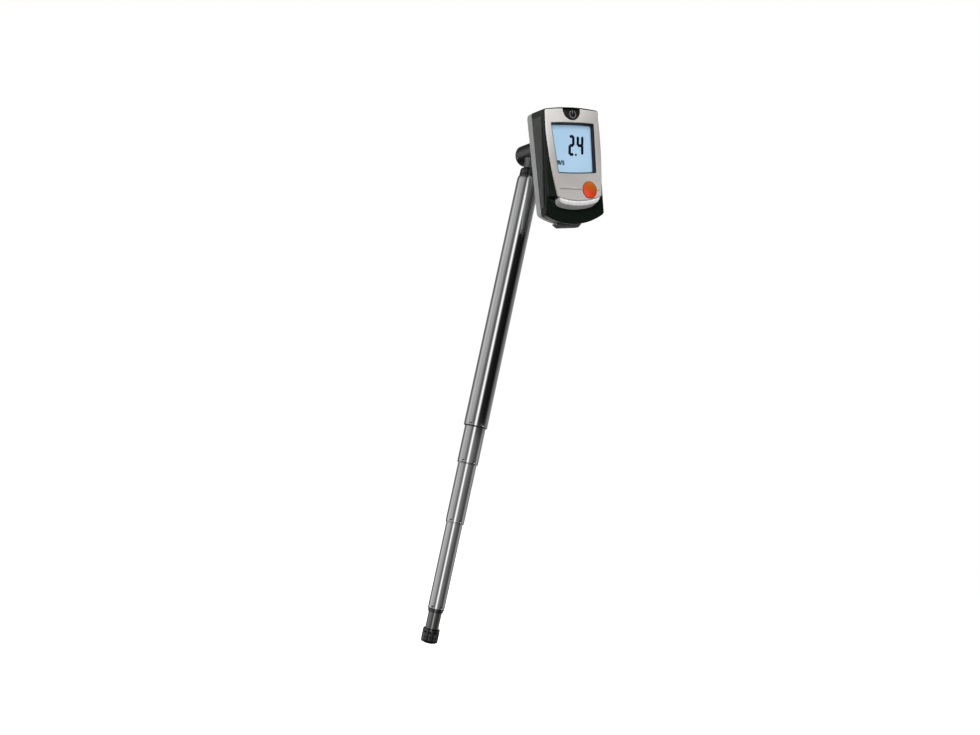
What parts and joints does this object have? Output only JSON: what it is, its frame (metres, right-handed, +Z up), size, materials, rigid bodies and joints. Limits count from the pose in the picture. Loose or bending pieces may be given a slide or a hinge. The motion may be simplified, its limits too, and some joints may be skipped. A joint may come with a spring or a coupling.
{
  "type": "air velocity meter",
  "caption": "Pocket air-velocity meter: a display head that turns on a barrel at the top of a polished telescopic probe with a sleeved sensor tip.",
  "frame": {"origin": "on the telescope's axis at the top end of the handle tube, where a clamp or sleeve on the tube starts", "axes": "+Z up along the telescope, so the sensor tip points down -Z; the head's display faces -Y; +X is to the right of a reader"},
  "size_m": [0.0656, 0.0631, 0.3605],
  "materials": {
    "polished_tube": "mirror-polished stainless tube",
    "polished_stem": "polished stainless rod",
    "black_barrel": "satin black moulding",
    "sleeve_black": "matt black ribbed moulding",
    "shell_dark": "satin near-black moulding",
    "shell_grey": "light grey moulding",
    "door_grey": "light grey moulding",
    "grip_rubber": "soft dark grey strip",
    "fascia_silver": "warm silver satin",
    "trim_chrome": "bright plated",
    "frame_black": "matt blue-black moulding",
    "pane_clear": "clear acrylic",
    "seal_foam": "black foam",
    "display_blue": "pale blue display film",
    "segment_ink": "dark display segments",
    "strip_rubber": "conductive rubber strip",
    "board_green": "green solder mask",
    "chip_black": "chip package",
    "switch_dark": "switch body",
    "socket_cream": "connector housing",
    "tray_black": "black moulding",
    "cell_wrap": "plain printed wrap",
    "contact_steel": "nickel-plated spring steel",
    "screw_steel": "blackened steel",
    "pin_steel": "ground steel",
    "bush_bronze": "sintered bronze",
    "ring_acetal": "natural acetal",
    "cable_jacket": "cable jacket",
    "bead_glass": "glass-coated bead",
    "button_orange": "orange moulding",
    "button_black": "black moulding"
  },
  "bodies": {
    "handle": {"handle_tube": "polished_tube", "tube_collar": "black_barrel", "hinge_barrel": "black_barrel", "barrel_cap": "black_barrel", "spindle_bush": "bush_bronze", "friction_washer": "pin_steel", "stop_pin": "pin_steel", "probe_cable": "cable_jacket"},
    "tube_two": {"tube_two": "polished_tube", "guide_ring_two": "ring_acetal"},
    "tube_three": {"tube_three": "polished_tube", "guide_ring_three": "ring_acetal"},
    "tube_four": {"tube_four": "polished_tube", "guide_ring_four": "ring_acetal", "stem_bush": "tray_black", "cable_grip": "tray_black", "sensor_lead": "cable_jacket", "sensor_stem": "polished_stem", "sensor_beads": "bead_glass"},
    "sleeve": {"sensor_sleeve": "sleeve_black"},
    "head": {"back_shell": "shell_grey", "front_shell": "shell_dark", "side_grip_left": "grip_rubber", "side_grip_right": "grip_rubber", "fascia_plate": "fascia_silver", "crescent_trim": "trim_chrome", "window_frame": "frame_black", "window_pane": "pane_clear", "window_seal": "seal_foam", "display_glass": "display_blue", "display_segments": "segment_ink", "connector_strips": "strip_rubber", "circuit_board": "board_green", "circuit_chips": "chip_black", "mode_switch": "switch_dark", "power_switch": "switch_dark", "cable_socket": "socket_cream", "battery_tray": "tray_black", "battery_cell_left": "cell_wrap", "battery_cell_right": "cell_wrap", "contact_springs": "contact_steel", "contact_plates": "contact_steel", "case_screws": "screw_steel", "hinge_spindle": "pin_steel", "spindle_clip": "screw_steel"},
    "mode_button": {"mode_button": "button_orange"},
    "power_button": {"power_button": "button_black"},
    "door": {"battery_door": "door_grey"}
  },
  "joints": [
    {"name": "head_turn", "type": "hinge", "parent": "handle", "child": "head", "pos_m": [0, -0.0254, 0.019], "axis": [0, 1, 0], "range_deg": [-115, 155]},
    {"name": "tube_two_slide", "type": "slide", "parent": "handle", "child": "tube_two", "axis": [0, 0, -1], "range_m": [-0.0225, 0.059], "deforming": ["probe_cable"]},
    {"name": "tube_three_slide", "type": "slide", "parent": "tube_two", "child": "tube_three", "axis": [0, 0, -1], "range_m": [-0.037, 0.0445], "deforming": ["probe_cable"]},
    {"name": "tube_four_slide", "type": "slide", "parent": "tube_three", "child": "tube_four", "axis": [0, 0, -1], "range_m": [-0.057, 0.0245], "deforming": ["probe_cable"]},
    {"name": "sleeve_slide", "type": "slide", "parent": "tube_four", "child": "sleeve", "axis": [0, 0, 1], "range_m": [0, 0.0101]},
    {"name": "mode_press", "type": "slide", "parent": "head", "child": "mode_button", "axis": [0.0112, 0.9995, -0.0307], "range_m": [0, 0.0008], "stiffness_N_per_m": 1500},
    {"name": "power_press", "type": "slide", "parent": "head", "child": "power_button", "axis": [0.0112, 0.9995, -0.0307], "range_m": [0, 0.0008], "stiffness_N_per_m": 1500},
    {"name": "door_slide", "type": "slide", "parent": "head", "child": "door", "axis": [0.342, 0, -0.9397], "range_m": [0, 0.014]}
  ]
}
